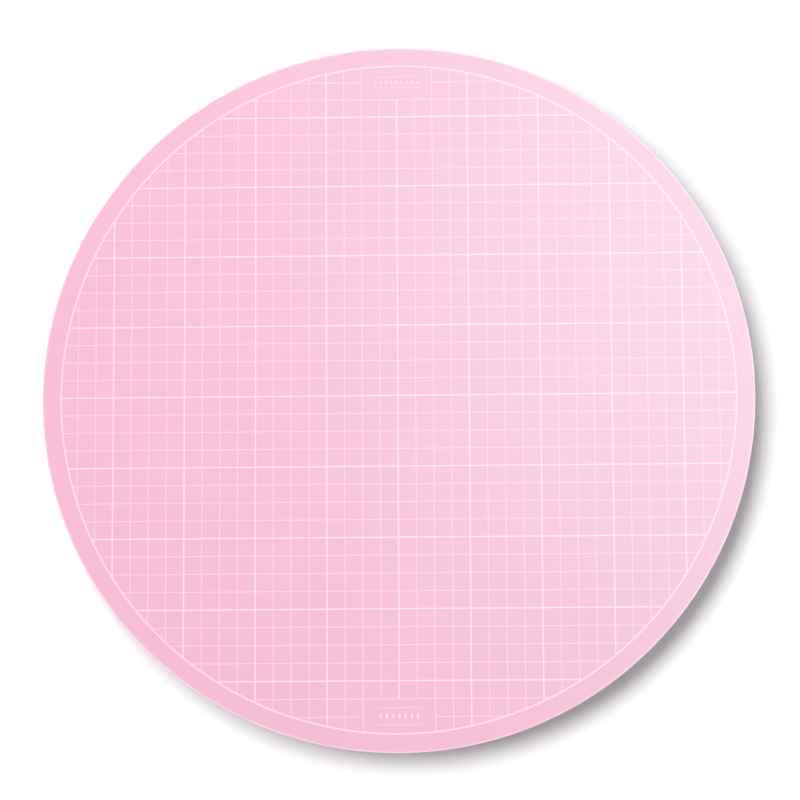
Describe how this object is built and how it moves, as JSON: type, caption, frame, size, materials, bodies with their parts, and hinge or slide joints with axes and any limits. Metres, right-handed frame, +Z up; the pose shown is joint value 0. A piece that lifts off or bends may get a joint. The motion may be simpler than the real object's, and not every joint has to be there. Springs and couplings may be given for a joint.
{
  "type": "round turning self-healing cutting mat",
  "caption": "Round pink self-healing cutting mat with a white printed inch grid, on a low ball-bearing turntable base with rubber feet.",
  "frame": {"origin": "centre of the turning axis on the surface that the rubber feet stand on", "axes": "+Z up along the turning axis; +Y towards the mat's far side as its grid reads; +X to the right"},
  "size_m": [0.254, 0.254, 0.0127],
  "materials": {
    "cutting_vinyl": "pink soft PVC, fine matt grain",
    "grid_ink": "white screen-printed ink, pressed flush",
    "core_vinyl": "white rigid PVC",
    "backing_vinyl": "pink soft PVC, matt",
    "adhesive": "translucent double-sided film",
    "moulding": "white ABS, fine spark texture",
    "acetal": "natural acetal, smooth",
    "cage_nylon": "dark grey nylon",
    "ball_steel": "polished bearing steel",
    "steel": "zinc-plated steel",
    "foot_rubber": "grey thermoplastic rubber, matt"
  },
  "bodies": {
    "base": {"base_plate": "moulding", "lower_race": "acetal", "pivot_bush": "acetal", "hub_cap": "moulding", "foot_1": "foot_rubber", "foot_2": "foot_rubber", "foot_3": "foot_rubber", "foot_4": "foot_rubber", "foot_5": "foot_rubber", "foot_6": "foot_rubber"},
    "turntable": {"cutting_layer": "cutting_vinyl", "printed_grid": "grid_ink", "core_layer": "core_vinyl", "backing_layer": "backing_vinyl", "adhesive_film": "adhesive", "platter": "moulding", "upper_race": "acetal", "retaining_washer": "steel", "pivot_screw": "steel"},
    "ball_ring": {"ball_cage": "cage_nylon"},
    "ball_01": {"ball_01": "ball_steel"},
    "ball_02": {"ball_02": "ball_steel"},
    "ball_03": {"ball_03": "ball_steel"},
    "ball_04": {"ball_04": "ball_steel"},
    "ball_05": {"ball_05": "ball_steel"},
    "ball_06": {"ball_06": "ball_steel"},
    "ball_07": {"ball_07": "ball_steel"},
    "ball_08": {"ball_08": "ball_steel"},
    "ball_09": {"ball_09": "ball_steel"},
    "ball_10": {"ball_10": "ball_steel"},
    "ball_11": {"ball_11": "ball_steel"},
    "ball_12": {"ball_12": "ball_steel"}
  },
  "joints": [
    {"name": "turntable_spin", "type": "hinge", "parent": "base", "child": "turntable", "pos_m": [0, 0, 0], "axis": [0, 0, 1], "continuous": true},
    {"name": "ball_ring_spin", "type": "hinge", "parent": "base", "child": "ball_ring", "pos_m": [0, 0, 0], "axis": [0, 0, 1], "continuous": true},
    {"name": "ball_01_roll", "type": "hinge", "parent": "ball_ring", "child": "ball_01", "pos_m": [0.08, 0, 0.00533], "axis": [1, 0, 0], "continuous": true},
    {"name": "ball_02_roll", "type": "hinge", "parent": "ball_ring", "child": "ball_02", "pos_m": [0.06928, 0.04, 0.00533], "axis": [0.866, 0.5, 0], "continuous": true},
    {"name": "ball_03_roll", "type": "hinge", "parent": "ball_ring", "child": "ball_03", "pos_m": [0.04, 0.06928, 0.00533], "axis": [0.5, 0.866, 0], "continuous": true},
    {"name": "ball_04_roll", "type": "hinge", "parent": "ball_ring", "child": "ball_04", "pos_m": [0, 0.08, 0.00533], "axis": [0, 1, 0], "continuous": true},
    {"name": "ball_05_roll", "type": "hinge", "parent": "ball_ring", "child": "ball_05", "pos_m": [-0.04, 0.06928, 0.00533], "axis": [-0.5, 0.866, 0], "continuous": true},
    {"name": "ball_06_roll", "type": "hinge", "parent": "ball_ring", "child": "ball_06", "pos_m": [-0.06928, 0.04, 0.00533], "axis": [-0.866, 0.5, 0], "continuous": true},
    {"name": "ball_07_roll", "type": "hinge", "parent": "ball_ring", "child": "ball_07", "pos_m": [-0.08, 0, 0.00533], "axis": [-1, 0, 0], "continuous": true},
    {"name": "ball_08_roll", "type": "hinge", "parent": "ball_ring", "child": "ball_08", "pos_m": [-0.06928, -0.04, 0.00533], "axis": [-0.866, -0.5, 0], "continuous": true},
    {"name": "ball_09_roll", "type": "hinge", "parent": "ball_ring", "child": "ball_09", "pos_m": [-0.04, -0.06928, 0.00533], "axis": [-0.5, -0.866, 0], "continuous": true},
    {"name": "ball_10_roll", "type": "hinge", "parent": "ball_ring", "child": "ball_10", "pos_m": [0, -0.08, 0.00533], "axis": [0, -1, 0], "continuous": true},
    {"name": "ball_11_roll", "type": "hinge", "parent": "ball_ring", "child": "ball_11", "pos_m": [0.04, -0.06928, 0.00533], "axis": [0.5, -0.866, 0], "continuous": true},
    {"name": "ball_12_roll", "type": "hinge", "parent": "ball_ring", "child": "ball_12", "pos_m": [0.06928, -0.04, 0.00533], "axis": [0.866, -0.5, 0], "continuous": true}
  ],
  "couplings": [
    {"joint": "ball_ring_spin", "follows": "turntable_spin", "ratio": 0.5},
    {"joint": "ball_01_roll", "follows": "turntable_spin", "ratio": -20},
    {"joint": "ball_02_roll", "follows": "turntable_spin", "ratio": -20},
    {"joint": "ball_03_roll", "follows": "turntable_spin", "ratio": -20},
    {"joint": "ball_04_roll", "follows": "turntable_spin", "ratio": -20},
    {"joint": "ball_05_roll", "follows": "turntable_spin", "ratio": -20},
    {"joint": "ball_06_roll", "follows": "turntable_spin", "ratio": -20},
    {"joint": "ball_07_roll", "follows": "turntable_spin", "ratio": -20},
    {"joint": "ball_08_roll", "follows": "turntable_spin", "ratio": -20},
    {"joint": "ball_09_roll", "follows": "turntable_spin", "ratio": -20},
    {"joint": "ball_10_roll", "follows": "turntable_spin", "ratio": -20},
    {"joint": "ball_11_roll", "follows": "turntable_spin", "ratio": -20},
    {"joint": "ball_12_roll", "follows": "turntable_spin", "ratio": -20}
  ]
}
